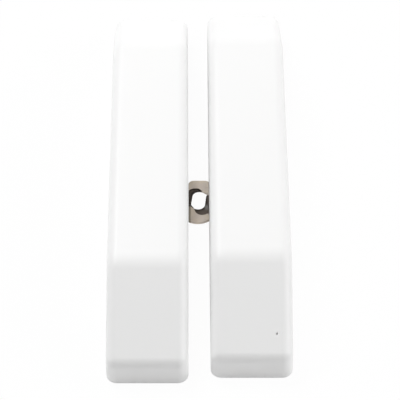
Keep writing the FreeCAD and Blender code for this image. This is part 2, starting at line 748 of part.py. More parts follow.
# Fixing lug: a thin pressed steel ear in the gap, joggled up over the floor of the sensor base.
# The ear has straight sides, a straight far end with round corners and a curved near end.
def ear(item):
    left = value(EAR_LEFT)
    right = value(EAR_RIGHT)
    far = value(EAR_FAR)
    radius = value("lug_end_radius")
    middle = Vector(value(EAR_END_X), value(EAR_END_Y), 0)
    starts = math.pi + math.acos((middle.x - left) / radius)
    ends = 2 * math.pi - math.acos((right - middle.x) / radius)
    curve = item.addGeometry(Part.ArcOfCircle(Part.Circle(middle, Vector(0, 0, 1), radius), starts, ends))
    near_left = item.getPoint(curve, 1)
    near_right = item.getPoint(curve, 2)
    up = item.addGeometry(Part.LineSegment(near_right, Vector(right, far, 0)))
    over = item.addGeometry(Part.LineSegment(Vector(right, far, 0), Vector(left, far, 0)))
    down = item.addGeometry(Part.LineSegment(Vector(left, far, 0), near_left))
    for pair in ((curve, 2, up, 1), (up, 2, over, 1), (over, 2, down, 1), (down, 2, curve, 1)):
        item.addConstraint(Sketcher.Constraint("Coincident", *pair))
    item.addConstraint(Sketcher.Constraint("Vertical", up))
    item.addConstraint(Sketcher.Constraint("Vertical", down))
    locate(item, over, 1, EAR_RIGHT, EAR_FAR)
    locate(item, over, 2, EAR_LEFT, EAR_FAR)
    limit(item, "Radius", (curve,), "lug_end_radius")
    locate(item, curve, 3, EAR_END_X, EAR_END_Y)


def leaning_slot(body, name, radius, length, y, lean, axis):
    item = sketch(body, name, lift="lug_thickness")
    item.AttachmentOffset.Rotation = Rotation(axis, value(lean))
    bind(item, "AttachmentOffset.Base.x", SLOT_X)
    bind(item, "AttachmentOffset.Base.y", y)
    bind(item, "AttachmentOffset.Rotation.Angle", lean)
    slot(item, radius, length)
    return item


lug = new_body("fixing_lug")
ear_plan = sketch(lug, "ear_plan")
ear(ear_plan)
pad(lug, ear_plan, "lug_thickness")
lug_middle = value(LUG_Y)
dress(lug, "Fillet", "Radius", "lug_corner", lambda e: upright(e) and e.CenterOfMass.y > lug_middle)
sink = leaning_slot(lug, "lug_sink", "sink_radius", "sink_length", LUG_Y, "sink_lean", Vector(0, 0, 1))
pocket(lug, sink, "sink_depth")
tongue_side = sketch(lug, "tongue_side", "XZ_Plane", "-" + TONGUE_Y)
TONGUE_ROOT = EAR_RIGHT + " - lug_thickness / 2"
STEP_END = "(-%s - base_play / 2)" % BASE_SIDE
polygon(tongue_side, [
    (TONGUE_ROOT, "0"),
    (EAR_RIGHT, "0"),
    (STEP_END, "base_floor"),
    (TONGUE_END, "base_floor"),
    (TONGUE_END, "base_floor + lug_thickness"),
    (STEP_END + " - lug_thickness / 2", "base_floor + lug_thickness"),
    (TONGUE_ROOT, "lug_thickness"),
])
pad(lug, tongue_side, "tongue_width", middle=True)
lug_slot = leaning_slot(lug, "lug_slot", "slot_radius", "slot_length", LUG_Y + " + slot_shift",
                        "slot_lean", Vector(0, 0, -1))
pocket(lug, lug_slot)
slot_corner = sketch(lug, "slot_corner", lift="lug_thickness")
polygon(slot_corner, [
    (SLOT_X, SLOT_FAR),
    (SLOT_X + " + slot_radius", SLOT_FAR + " - slot_radius / 4"),
    (SLOT_X + " + slot_notch", SLOT_FAR + " + slot_radius / 3"),
    (SLOT_X + " + slot_radius / 2", SLOT_FAR + " + 0.85 * slot_radius"),
])
pocket(lug, slot_corner)
screw_way = sketch(lug, "lug_screw_way", lift="base_floor + lug_thickness")
circle(screw_way, "shank_radius + screw_play", LUG_SCREW_X, TONGUE_Y)
pocket(lug, screw_way, "lug_thickness + 0.1")
finish("fixing_lug", lug, "sensor")

lug_head = rod("lug_screw_head", "head_radius", "head_height", LUG_SCREW_X, TONGUE_Y,
               "base_floor + lug_thickness")
lug_shank = rod("lug_screw_shank", "shank_radius", "base_floor / 2 + lug_thickness", LUG_SCREW_X, TONGUE_Y,
                "base_floor / 2")
finish("lug_screw", joined("lug_screw", [lug_head, lug_shank]), "sensor")


# Magnet base: bosses for the carrier and stiffening ribs towards the far end
magnet_tray = base_tray("magnet_base")
stiff = sketch(magnet_tray, "stiff_ribs", lift="base_floor / 2")
for share in ("0.25", "0.5", "0.75"):
    rectangle(stiff, "2 * (%s - rim_wall / 2)" % BASE_SIDE, "rib_thickness", "0",
              "(%s + %s / 2) * (1 - %s) + (%s - 3 * mount_radius) * %s" % (
                  MAGNET_Y, CARRIER_LENGTH, share, MOUNT_SPAN, share))
pad(magnet_tray, stiff, "rim_height - base_floor / 2 - rib_thickness / 2")
base_holes(magnet_tray)
carrier_pilots = sketch(magnet_tray, "carrier_pilots", lift="base_floor")
circle(carrier_pilots, "pilot_radius", MAGNET_X, "%s - %s" % (MAGNET_Y, FOOT_SPAN))
circle(carrier_pilots, "pilot_radius", MAGNET_X, "%s + %s" % (MAGNET_Y, FOOT_SPAN))
pocket(magnet_tray, carrier_pilots)
finish("magnet_base", magnet_tray, "magnet")

# Magnet carrier: a moulded tray with a screw foot at each end
carrier = new_body("magnet_carrier")
carrier_plan = sketch(carrier, "carrier_plan", lift="base_floor")
rectangle(carrier_plan, CARRIER_WIDTH, CARRIER_LENGTH, MAGNET_X, MAGNET_Y)
pad(carrier, carrier_plan, "carrier_floor + carrier_depth")
for end, sign in (("near", "-"), ("far", "+")):
    step = sketch(carrier, "carrier_step_" + end, lift=MAGNET_Z + " + carrier_depth")
    rectangle(step, "2 * " + CARRIER_WIDTH, "2 * (carrier_foot - carrier_wall)", MAGNET_X,
              "%s %s %s / 2" % (MAGNET_Y, sign, CARRIER_LENGTH))
    pocket(carrier, step, "carrier_depth")
nest = sketch(carrier, "magnet_nest", lift=MAGNET_Z + " + carrier_depth")
rectangle(nest, "magnet_width + 2 * magnet_play", "magnet_length + 2 * magnet_play", MAGNET_X, MAGNET_Y)
pocket(carrier, nest, "carrier_depth")
carrier_y = value(MAGNET_Y)
carrier_half = value(CARRIER_LENGTH) / 2
dress(carrier, "Fillet", "Radius", "carrier_wall * 0.8",
      lambda e: upright(e) and abs(abs(e.CenterOfMass.y - carrier_y) - carrier_half) < 1e-3)
foot_holes = sketch(carrier, "foot_holes", lift=MAGNET_Z)
circle(foot_holes, "shank_radius + screw_play", MAGNET_X, "%s - %s" % (MAGNET_Y, FOOT_SPAN))
circle(foot_holes, "shank_radius + screw_play", MAGNET_X, "%s + %s" % (MAGNET_Y, FOOT_SPAN))
pocket(carrier, foot_holes)
finish("magnet_carrier", carrier, "magnet")

magnet = new_body("bar_magnet")
magnet_plan = sketch(magnet, "magnet_plan", lift=MAGNET_Z)
rectangle(magnet_plan, "magnet_width", "magnet_length", MAGNET_X, MAGNET_Y)
pad(magnet, magnet_plan, "magnet_height")
dress(magnet, "Chamfer", "Size", "magnet_round", lambda e: True)
finish("bar_magnet", magnet, "magnet")


# Carrier screws are short, so that they stay above the mounting plane
carrier_screws = doc.addObject("Part::Compound", "carrier_screws")
carrier_screws.Links = [
    screw("carrier_screw_" + end, MAGNET_X, "%s %s %s" % (MAGNET_Y, sign, FOOT_SPAN), MAGNET_Z,
          "carrier_floor + base_floor / 2")
    for end, sign in (("near", "-"), ("far", "+"))
]
finish("carrier_screws", carrier_screws, "magnet")


# Check every object, then write each sub-part
doc.recompute()
for item in doc.Objects:
    if "Invalid" in item.State or "Error" in item.State:
        raise RuntimeError("%s failed: %s" % (item.Name, item.State))
for name, item in subparts.items():
    if item.Shape.isNull() or not item.Shape.isValid() or not item.Shape.Solids:
        raise RuntimeError("%s has no valid solid" % name)
for name, item in subparts.items():
    item.Shape.exportStep("parts/%s.step" % name)
    box = item.Shape.BoundBox
    print("%-24s %d solids %9.1f mm3  x %7.2f %7.2f  y %7.2f %7.2f  z %6.2f %6.2f" % (
        name, len(item.Shape.Solids), item.Shape.Volume,
        box.XMin, box.XMax, box.YMin, box.YMax, box.ZMin, box.ZMax))
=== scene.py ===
import json
import math

import bmesh
import bpy
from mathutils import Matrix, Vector


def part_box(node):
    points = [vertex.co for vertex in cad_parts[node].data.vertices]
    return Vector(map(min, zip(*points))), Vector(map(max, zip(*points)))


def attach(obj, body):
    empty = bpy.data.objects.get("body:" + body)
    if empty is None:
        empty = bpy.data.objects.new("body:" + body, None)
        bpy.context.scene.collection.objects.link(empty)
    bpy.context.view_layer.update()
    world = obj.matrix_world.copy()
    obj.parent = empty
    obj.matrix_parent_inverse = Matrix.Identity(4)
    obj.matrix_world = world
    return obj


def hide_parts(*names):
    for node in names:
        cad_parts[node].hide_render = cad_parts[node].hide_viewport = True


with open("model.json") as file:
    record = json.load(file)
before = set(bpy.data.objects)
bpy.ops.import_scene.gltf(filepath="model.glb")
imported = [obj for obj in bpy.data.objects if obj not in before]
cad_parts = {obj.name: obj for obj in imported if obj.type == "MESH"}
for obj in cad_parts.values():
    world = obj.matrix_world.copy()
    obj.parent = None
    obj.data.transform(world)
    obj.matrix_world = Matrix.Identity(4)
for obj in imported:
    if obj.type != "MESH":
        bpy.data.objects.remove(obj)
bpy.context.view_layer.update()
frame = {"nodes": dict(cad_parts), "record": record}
nodes = frame["nodes"]
scene = bpy.context.scene
print("door contact: frame loaded,", len(nodes), "nodes")


# Camera: from the near end, looking down along both bars
camera = {
    "place": (-0.00395, -0.4205, 0.4338),
    "downTilt": 46.0,             # degrees below level
    "focal": 2310 / 400,          # focal length over picture width
    "sensor": 36.0,
    "sideShift": 16.65 / 400,     # share of the picture width
    "clip": (0.01, 20),
}


def makeCamera():
    data = bpy.data.cameras.new("photoCamera")
    data.sensor_width = camera["sensor"]
    data.lens = camera["focal"] * camera["sensor"]
    data.shift_x = camera["sideShift"]
    data.clip_start, data.clip_end = camera["clip"]
    eye = bpy.data.objects.new("photoCamera", data)
    eye.location = camera["place"]
    eye.rotation_euler = (math.radians(90 - camera["downTilt"]), 0, 0)
    scene.collection.objects.link(eye)
    scene.camera = eye


makeCamera()


# Short ways to lay nodes; a socket is fed by another node's output, a number, a place or a colour
def feed(tree, source, socket):
    if isinstance(source, bpy.types.NodeSocket):
        tree.links.new(source, socket)
    elif socket.type == "RGBA":
        socket.default_value = (*source, 1)
    else:
        socket.default_value = source


def mathNode(tree, operation, *entries):
    node = tree.nodes.new("ShaderNodeMath")
    node.operation = operation
    for entry, socket in zip(entries, node.inputs):
        feed(tree, entry, socket)
    return node.outputs[0]


# One operation over three or more entries, in their order
def mathChain(tree, operation, first, *others):
    for other in others:
        first = mathNode(tree, operation, first, other)
    return first


def vectorNode(tree, operation, first, second):
    node = tree.nodes.new("ShaderNodeVectorMath")
    node.operation = operation
    feed(tree, first, node.inputs[0])
    feed(tree, second, node.inputs[1])
    return node.outputs


def splitNode(tree, vector):
    node = tree.nodes.new("ShaderNodeSeparateXYZ")
    feed(tree, vector, node.inputs[0])
    return node.outputs


# The Mix node keeps its colours at inputs 6 and 7 and output 2
def mixColour(tree, factor, first, second, blend="MIX"):
    node = tree.nodes.new("ShaderNodeMix")
    node.data_type = "RGBA"
    node.blend_type = blend
    for index, entry in ((0, factor), (6, first), (7, second)):
        feed(tree, entry, node.inputs[index])
    return node.outputs[2]


def rangeNode(tree, value, limits, results=(0, 1), smooth=False):
    node = tree.nodes.new("ShaderNodeMapRange")
    node.interpolation_type = "SMOOTHSTEP" if smooth else "LINEAR"
    feed(tree, value, node.inputs["Value"])
    for name, entry in zip(("From Min", "From Max", "To Min", "To Max"), (*limits, *results)):
        feed(tree, entry, node.inputs[name])
    return node.outputs["Result"]


def softRise(tree, value, limits):
    return rangeNode(tree, value, limits, smooth=True)


def softFall(tree, value, limits):
    return rangeNode(tree, value, limits, (1, 0), smooth=True)


def noiseNode(tree, vector, scale, detail=2.0):
    node = tree.nodes.new("ShaderNodeTexNoise")
    node.inputs["Detail"].default_value = detail
    feed(tree, vector, node.inputs["Vector"])
    feed(tree, scale, node.inputs["Scale"])
    return node.outputs["Fac"]


noiseMiddle = 0.5
noiseSpan = (0.3, 0.7)            # where most of a noise's values lie


# A level that a noise moves up and down, by up to half of the swing
def swungLevel(tree, level, noise, swing):
    offset = mathNode(tree, "MULTIPLY", mathNode(tree, "SUBTRACT", noise, noiseMiddle), swing)
    return mathNode(tree, "ADD", level, offset)


def objectPlace(tree):
    return tree.nodes.new("ShaderNodeTexCoord").outputs["Object"]


skinOutputs = (("Color", "NodeSocketColor"), ("Roughness", "NodeSocketFloat"), ("Height", "NodeSocketFloat"))


def startGroup(name, sockets, outputs=skinOutputs):
    tree = bpy.data.node_groups.new(name, "ShaderNodeTree")
    for label, kind, value in sockets:
        socket = tree.interface.new_socket(name=label, in_out="INPUT", socket_type=kind)
        socket.default_value = (*value, 1) if kind == "NodeSocketColor" else value
    for label, kind in outputs:
        tree.interface.new_socket(name=label, in_out="OUTPUT", socket_type=kind)
    return tree, tree.nodes.new("NodeGroupInput").outputs, tree.nodes.new("NodeGroupOutput").inputs


# Moulded plastic: spark-eroded grain, slow drift of tone along the flow, faint polish marks
moulding = {
    "driftScale": 45.0,
    "driftDetail": 3.0,
    "polishStretch": (160, 22, 160),
    "polishDetail": 4.0,
    "grainDepth": 0.000006,
}


def mouldedSkinGroup():
    tree, given, out = startGroup("mouldedSkin", (
        ("Tone", "NodeSocketColor", (0.9, 0.9, 0.9)),
        ("Drift", "NodeSocketFloat", 0.02),
        ("Grain", "NodeSocketFloat", 3500.0),
        ("Rough", "NodeSocketFloat", 0.4),
        ("Polish", "NodeSocketFloat", 0.06),
    ))
    place = objectPlace(tree)
    slow = noiseNode(tree, place, moulding["driftScale"], moulding["driftDetail"])
    level = swungLevel(tree, 1.0, slow, given["Drift"])
    grey = tree.nodes.new("ShaderNodeCombineColor")
    for name in ("Red", "Green", "Blue"):
        feed(tree, level, grey.inputs[name])
    smeared = vectorNode(tree, "MULTIPLY", place, moulding["polishStretch"])["Vector"]
    polish = noiseNode(tree, smeared, 1.0, moulding["polishDetail"])
    feed(tree, mixColour(tree, 1.0, given["Tone"], grey.outputs["Color"], "MULTIPLY"), out["Color"])
    feed(tree, swungLevel(tree, given["Rough"], polish, given["Polish"]), out["Roughness"])
    feed(tree, noiseNode(tree, place, given["Grain"]), out["Height"])
    return tree


# Rolled or drawn metal: fine lines along one direction, broader stains across them
rolling = {
    "lineDetail": 3.0,
    "stainScale": 420.0,
    "stainDetail": 3.0,
    "stainEdge": (0.42, 0.62),
    "lineDepth": 0.000003,
}


def drawnMetalGroup():
    tree, given, out = startGroup("drawnMetal", (
        ("Tone", "NodeSocketColor", (0.6, 0.6, 0.6)),
        ("Stain", "NodeSocketColor", (0.5, 0.5, 0.5)),
        ("Stretch", "NodeSocketVector", (6000.0, 260.0, 6000.0)),
        ("Rough", "NodeSocketFloat", 0.3),
        ("Scatter", "NodeSocketFloat", 0.12),
    ))
    place = objectPlace(tree)
    stretched = vectorNode(tree, "MULTIPLY", place, given["Stretch"])["Vector"]
    lines = noiseNode(tree, stretched, 1.0, rolling["lineDetail"])
    stain = noiseNode(tree, place, rolling["stainScale"], rolling["stainDetail"])
    patch = softRise(tree, stain, rolling["stainEdge"])
    feed(tree, mixColour(tree, patch, given["Tone"], given["Stain"]), out["Color"])
    feed(tree, swungLevel(tree, given["Rough"], lines, given["Scatter"]), out["Roughness"])
    feed(tree, lines, out["Height"])
    return tree


# How far a point lies outside a slot with round ends, seen from above
def slotReachGroup():
    tree, given, out = startGroup("slotReach", (
        ("Centre", "NodeSocketVector", (0.0, 0.0, 0.0)),
        ("Lean", "NodeSocketFloat", 0.0),
        ("Half Run", "NodeSocketFloat", 0.001),
        ("Radius", "NodeSocketFloat", 0.001),
    ), (("Reach", "NodeSocketFloat"),))
    turn = tree.nodes.new("ShaderNodeVectorRotate")
    turn.rotation_type = "Z_AXIS"
    fromCentre = vectorNode(tree, "SUBTRACT", objectPlace(tree), given["Centre"])["Vector"]
    feed(tree, fromCentre, turn.inputs["Vector"])
    feed(tree, given["Lean"], turn.inputs["Angle"])
    across, along, _ = splitNode(tree, turn.outputs["Vector"])
    past = mathNode(tree, "SUBTRACT", mathNode(tree, "ABSOLUTE", along), given["Half Run"])
    past = mathNode(tree, "MAXIMUM", past, 0.0)
    squares = mathNode(tree, "ADD", mathNode(tree, "MULTIPLY", across, across),
                       mathNode(tree, "MULTIPLY", past, past))
    feed(tree, mathNode(tree, "SUBTRACT", mathNode(tree, "SQRT", squares), given["Radius"]), out["Reach"])
    return tree


mouldedSkin = mouldedSkinGroup()
drawnMetal = drawnMetalGroup()
slotReach = slotReachGroup()


def startMaterial(name):
    made = bpy.data.materials.new(name)
    made.use_nodes = True
    return made, made.node_tree, made.node_tree.nodes["Principled BSDF"]


def placeGroup(tree, group, values):
    node = tree.nodes.new("ShaderNodeGroup")
    node.node_tree = group
    for name, value in values.items():
        feed(tree, value, node.inputs[name])
    return node.outputs


def bumpInto(tree, shader, height, depth, strength=1.0):
    bump = tree.nodes.new("ShaderNodeBump")
    feed(tree, strength, bump.inputs["Strength"])
    feed(tree, depth, bump.inputs["Distance"])
    feed(tree, height, bump.inputs["Height"])
    feed(tree, bump.outputs["Normal"], shader.inputs["Normal"])


# A finish that is the same skin all over its piece
def skinMaterial(name, group, values, depth, metallic):
    made, tree, shader = startMaterial(name)
    skin = placeGroup(tree, group, values)
    feed(tree, skin["Color"], shader.inputs["Base Color"])
    feed(tree, skin["Roughness"], shader.inputs["Roughness"])
    feed(tree, metallic, shader.inputs["Metallic"])
    bumpInto(tree, shader, skin["Height"], depth)
    return made


# Finishes of the plastic pieces: tone, how far it drifts, scale of the grain, roughness and its swing
plasticKeys = ("Tone", "Drift", "Grain", "Rough", "Polish")
plastics = {
    "coverPlastic": ((0.915, 0.915, 0.912), 0.012, 4200.0, 0.42, 0.05),
    "basePlastic": ((0.80, 0.80, 0.785), 0.03, 2600.0, 0.5, 0.1),
    "chipResin": ((0.028, 0.028, 0.031), 0.3, 9000.0, 0.55, 0.1),
    "switchPlastic": ((0.045, 0.045, 0.05), 0.2, 5200.0, 0.42, 0.1),
    "plungerPlastic": ((0.76, 0.76, 0.73), 0.03, 5200.0, 0.3, 0.1),
    "wireJacket": ((0.52, 0.035, 0.03), 0.15, 3200.0, 0.35, 0.12),
    "ledResin": ((0.86, 0.80, 0.55), 0.05, 9000.0, 0.15, 0.05),
    "pipePlastic": ((0.80, 0.83, 0.83), 0.03, 6000.0, 0.08, 0.04),
    "ferrite": ((0.06, 0.06, 0.064), 0.35, 1500.0, 0.62, 0.14),
}

# Finishes of the metal pieces: tone, tone of the stains, roughness and its swing
metalKeys = ("Tone", "Stain", "Rough", "Scatter")
metals = {
    "zincSteel": ((0.56, 0.57, 0.58), (0.47, 0.48, 0.50), 0.28, 0.14),
    "springSteel": ((0.42, 0.41, 0.39), (0.34, 0.33, 0.31), 0.32, 0.1),
    "contactSteel": ((0.66, 0.63, 0.56), (0.58, 0.55, 0.49), 0.24, 0.12),
    "tinnedCan": ((0.68, 0.68, 0.66), (0.60, 0.60, 0.59), 0.3, 0.16),
    "copperWire": ((0.72, 0.36, 0.22), (0.60, 0.28, 0.17), 0.3, 0.12),
    "solder": ((0.66, 0.66, 0.67), (0.56, 0.56, 0.58), 0.25, 0.2),
}
finishes = {}
for name, values in plastics.items():
    values = dict(zip(plasticKeys, values))
    finishes[name] = skinMaterial(name, mouldedSkin, values, moulding["grainDepth"], metallic=0.0)
for name, values in metals.items():
    values = dict(zip(metalKeys, values))
    finishes[name] = skinMaterial(name, drawnMetal, values, rolling["lineDepth"], metallic=1.0)
print("door contact: shared finishes made")


# Fixing lug: plated face, with painted shade in the recess, round the slot, beside the sensor housing and
# along the left edge, and a painted highlight in the shaded corner
lug = {
    "face": {"Tone": (0.482, 0.417, 0.343), "Stain": (0.442, 0.388, 0.341), "Rough": 0.34, "Scatter": 0.1,
             "Stretch": (900.0, 5200.0, 5200.0)},
    "shade": (0.82, 0.84, 0.86),          # multiplies the face's tone towards the sensor
    "shadeX": (0.0, 0.0028),
    # The lug's opening and the recess round it
    "slot": {"Centre": (0.00005, -0.0020, 0), "Lean": math.radians(7),
             "Half Run": 0.00145, "Radius": 0.0018},
    "sink": {"Centre": (0.00005, -0.0027, 0), "Lean": math.radians(-17.5),
             "Half Run": 0.003, "Radius": 0.00195},
    "faceZ": (0.00055, 0.00058),          # metal lower than this lies in the recess
    "sinkEdge": (-0.00002, 0.00004),
    "rimEdge": (0.0002, 0.00042),         # painted shade on a rim beyond the slot's edge
    "rimFarY": (-0.0034, -0.0028),
    "cornerX": (0.00150, 0.00165),        # shaded corner beside the housing
    "cornerFarY": (-0.00045, -0.0003),
    "cornerNearY": (-0.0073, -0.0068),
    "leftX": (-0.00212, -0.00196),        # inner limit of the painted shade along the left edge
    "leftNearY": (-0.0048, -0.0042),
    "leftFarY": (0.0008, 0.0014),
    "paintedShadeDeep": (0.048, 0.041, 0.037),    # painted shade, darkest beside the slot
    "paintedShadeShallow": (0.096, 0.080, 0.070),
    "paintedShadeFade": (0.0001, 0.0011),
    "paintedShadeRough": 0.12,                    # added to the face's roughness where shade is painted
    "sheen": (0.150, 0.144, 0.138),       # painted highlight, a paler spot in the shaded corner
    "sheenSpot": (0.0023, -0.0045, 0),
    "sheenReach": (0.0004, 0.0014),
    "shadedStrip": (0.248, 0.219, 0.178),       # painted shade along the near part of the left edge
    "shadedStripY": (-0.0026, -0.0042),
    "lineDepth": 0.000004,
}


def lugMaterial():
    made, tree, shader = startMaterial("platedLug")
    skin = placeGroup(tree, drawnMetal, lug["face"])
    x, y, z = splitNode(tree, objectPlace(tree))
    outsideSlot = placeGroup(tree, slotReach, lug["slot"])["Reach"]
    outsideSink = placeGroup(tree, slotReach, lug["sink"])["Reach"]

    # Painted shade: in the recess, on a rim round the slot, in the corner beside the housing and along the
    # left edge
    recess = mathNode(tree, "MULTIPLY", rangeNode(tree, z, lug["faceZ"], (1, 0)),
                      rangeNode(tree, outsideSink, lug["sinkEdge"], (1, 0)))
    rim = mathNode(tree, "MULTIPLY", softFall(tree, outsideSlot, lug["rimEdge"]),
                   softFall(tree, y, lug["rimFarY"]))
    corner = mathChain(tree, "MULTIPLY", softFall(tree, y, lug["cornerFarY"]),
                       softRise(tree, y, lug["cornerNearY"]), softRise(tree, x, lug["cornerX"]))
    leftEdge = softFall(tree, x, lug["leftX"])
    leftPaintedShade = mathChain(tree, "MULTIPLY", rangeNode(tree, y, lug["leftNearY"]),
                         rangeNode(tree, y, lug["leftFarY"], (1, 0)), leftEdge)
    # painted shade: the dark recess, rim, corner and left edge stand in for shade, not for bare metal
    paintedShade = mathChain(tree, "MAXIMUM", recess, rim, corner, leftPaintedShade)

    # Tone of the painted shade with its painted highlight, then of the plated face
    away = softRise(tree, outsideSlot, lug["paintedShadeFade"])
    paintedShadeTone = mixColour(tree, away, lug["paintedShadeDeep"], lug["paintedShadeShallow"])
    # painted highlight in the shaded corner
    fromSpot = vectorNode(tree, "DISTANCE", objectPlace(tree), lug["sheenSpot"])["Value"]
    sheen = mathNode(tree, "MULTIPLY", softFall(tree, fromSpot, lug["sheenReach"]), corner)
    paintedShadeTone = mixColour(tree, sheen, paintedShadeTone, lug["sheen"])
    shaded = mixColour(tree, 1.0, skin["Color"], lug["shade"], "MULTIPLY")
    faceTone = mixColour(tree, softRise(tree, x, lug["shadeX"]), skin["Color"], shaded)
    # painted shade along the near part of the left edge
    shadedStrip = mathNode(tree, "MULTIPLY", leftEdge, softRise(tree, y, lug["shadedStripY"]))
    faceTone = mixColour(tree, shadedStrip, faceTone, lug["shadedStrip"])

    feed(tree, mixColour(tree, paintedShade, faceTone, paintedShadeTone), shader.inputs["Base Color"])
    rougher = mathNode(tree, "MULTIPLY", paintedShade, lug["paintedShadeRough"])
    feed(tree, mathNode(tree, "ADD", skin["Roughness"], rougher), shader.inputs["Roughness"])
    feed(tree, 1.0, shader.inputs["Metallic"])
    bumpInto(tree, shader, skin["Height"], lug["lineDepth"])
    return made


finishes["platedLug"] = lugMaterial()

# Circuit board: solder mask over raised tracks
board = {
    "mask": (0.020, 0.13, 0.055),
    "track": (0.045, 0.22, 0.09),
    "trackScale": 420.0,
    "trackScatter": 0.55,
    "trackEdge": (0.10, 0.16),
    "trackDepth": 0.00002,
    "trackRelief": 0.6,           # strength of the bump
    "weaveScale": 1500.0,
    "rough": (0.26, 0.38),
}


def boardMaterial():
    made, tree, shader = startMaterial("solderMask")
    place = objectPlace(tree)
    reach = {}
    for feature in ("F1", "F2"):
        cells = tree.nodes.new("ShaderNodeTexVoronoi")
        cells.feature = feature
        cells.distance = "MANHATTAN"
        feed(tree, board["trackScale"], cells.inputs["Scale"])
        feed(tree, board["trackScatter"], cells.inputs["Randomness"])
        feed(tree, place, cells.inputs["Vector"])
        reach[feature] = cells.outputs["Distance"]
    track = softFall(tree, mathNode(tree, "SUBTRACT", reach["F2"], reach["F1"]), board["trackEdge"])
    weave = noiseNode(tree, place, board["weaveScale"])
    feed(tree, mixColour(tree, track, board["mask"], board["track"]), shader.inputs["Base Color"])
    feed(tree, rangeNode(tree, weave, noiseSpan, board["rough"]), shader.inputs["Roughness"])
    bumpInto(tree, shader, track, board["trackDepth"], board["trackRelief"])
    return made


finishes["solderMask"] = boardMaterial()

# Battery: shrunk jacket with a plain band, bare steel at both ends
cell = {
    "jacket": (0.030, 0.036, 0.048),
    "band": (0.50, 0.30, 0.10),
    "bandShare": 0.16,            # of the cell's length
    "bandEdge": 0.0001,
    "steel": (0.62, 0.62, 0.61),
    "capLength": 0.0012,
    "footLength": 0.0004,
    "steelEdge": 0.00005,
    "filmScale": 700.0,
    "filmDetail": 3.0,
    "filmDepth": 0.00001,
    "rough": (0.2, 0.34),
}


def batteryMaterial():
    low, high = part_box("battery")
    bandStart = high.y - (high.y - low.y) * cell["bandShare"]
    capStart = high.y - cell["capLength"]
    footEnd = low.y + cell["footLength"]
    made, tree, shader = startMaterial("cellJacket")
    _, y, _ = splitNode(tree, objectPlace(tree))
    band = rangeNode(tree, y, (bandStart - cell["bandEdge"], bandStart + cell["bandEdge"]))
    cap = rangeNode(tree, y, (capStart, capStart + cell["steelEdge"]))
    foot = rangeNode(tree, y, (footEnd, footEnd - cell["steelEdge"]))
    metal = mathNode(tree, "MAXIMUM", cap, foot)
    film = noiseNode(tree, objectPlace(tree), cell["filmScale"], cell["filmDetail"])
    coloured = mixColour(tree, band, cell["jacket"], cell["band"])
    feed(tree, mixColour(tree, metal, coloured, cell["steel"]), shader.inputs["Base Color"])
    feed(tree, metal, shader.inputs["Metallic"])
    feed(tree, rangeNode(tree, film, noiseSpan, cell["rough"]), shader.inputs["Roughness"])
    bumpInto(tree, shader, film, cell["filmDepth"])
    return made


finishes["cellJacket"] = batteryMaterial()

# Reed switch: green-tinted glass with wire leads
reed = {
    "glass": (0.50, 0.74, 0.55),
    "lead": (0.55, 0.54, 0.52),
    "glassLength": 0.013,
    "glassEdge": 0.0003,
    "rippleScale": 900.0,
    "rippleDepth": 0.000005,
    "rough": (0.03, 0.10),
    "coat": 0.6,
}


def reedMaterial():
    low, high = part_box("reed_switch")
    glassEnd = reed["glassLength"] / 2
    made, tree, shader = startMaterial("reedGlass")
    _, y, _ = splitNode(tree, objectPlace(tree))
    away = mathNode(tree, "ABSOLUTE", mathNode(tree, "SUBTRACT", y, (low.y + high.y) / 2))
    lead = rangeNode(tree, away, (glassEnd - reed["glassEdge"], glassEnd))
    ripple = noiseNode(tree, objectPlace(tree), reed["rippleScale"])
    feed(tree, mixColour(tree, lead, reed["glass"], reed["lead"]), shader.inputs["Base Color"])
    feed(tree, rangeNode(tree, ripple, noiseSpan, reed["rough"]), shader.inputs["Roughness"])
    feed(tree, lead, shader.inputs["Metallic"])
    feed(tree, reed["coat"], shader.inputs["Coat Weight"])
    bumpInto(tree, shader, ripple, reed["rippleDepth"])
    return made


finishes["reedGlass"] = reedMaterial()
print("door contact: piece finishes made")


# Every node of the frame gets its finish, on its own mesh or on a merged, smooth copy
nodeFinish = {
    "sensor_cover": "coverPlastic", "magnet_cover": "coverPlastic",
    "sensor_base": "basePlastic", "magnet_base": "basePlastic", "magnet_carrier": "basePlastic",
    "circuit_board": "solderMask", "board_screws": "zincSteel", "sensor_cover_screw": "zincSteel",
    "magnet_cover_screw": "zincSteel", "carrier_screws": "zincSteel", "lug_screw": "zincSteel",
    "reed_switch": "reedGlass", "radio_module": "tinnedCan", "microcontroller": "chipResin",
    "status_led": "ledResin", "light_pipe": "pipePlastic", "antenna": "copperWire",
    "tamper_switch": "switchPlastic", "tamper_plunger": "plungerPlastic", "tamper_spring": "springSteel",
    "battery": "cellJacket", "battery_spring_contact": "contactSteel",
    "battery_plate_contact": "contactSteel", "battery_wire": "wireJacket",
    "fixing_lug": "platedLug", "bar_magnet": "ferrite",
}
keptAsBuilt = ("circuit_board", "radio_module", "microcontroller", "status_led",
               "battery_plate_contact", "bar_magnet")
smoothing = {
    "mergeGap": 0.000002,
    "flatAngle": 0.4,             # degrees; flatter edges are dissolved
    "sharpAngle": 34.0,
    "faceWeight": 80,             # pull of large faces on the normals
    "softEdge": {"fixing_lug": 0.00009, "sensor_base": 0.00008, "magnet_base": 0.00008},
    "softAngle": 40.0,
    "softSegments": 2,
}
bodyOf = {name: body for body, names in frame["record"]["behaviour"]["bodies"].items() for name in names}


def addPiece(name, mesh, body, finish):
    mesh.materials.clear()
    mesh.materials.append(finishes[finish])
    piece = bpy.data.objects.new(name, mesh)
    scene.collection.objects.link(piece)
    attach(piece, body)
    return piece


def evaluated(item):
    scene.view_layers[0].update()
    shaped = item.evaluated_get(bpy.context.evaluated_depsgraph_get())
    return bpy.data.meshes.new_from_object(shaped)


def mergedMesh(node):
    mesh = nodes[node].data.copy()
    work = bmesh.new()
    work.from_mesh(mesh)
    bmesh.ops.remove_doubles(work, verts=work.verts, dist=smoothing["mergeGap"])
    flat = math.radians(smoothing["flatAngle"])
    bmesh.ops.dissolve_limit(work, angle_limit=flat, verts=work.verts, edges=work.edges)
    for face in work.faces:
        face.smooth = True
    work.to_mesh(mesh)
    work.free()
    return mesh


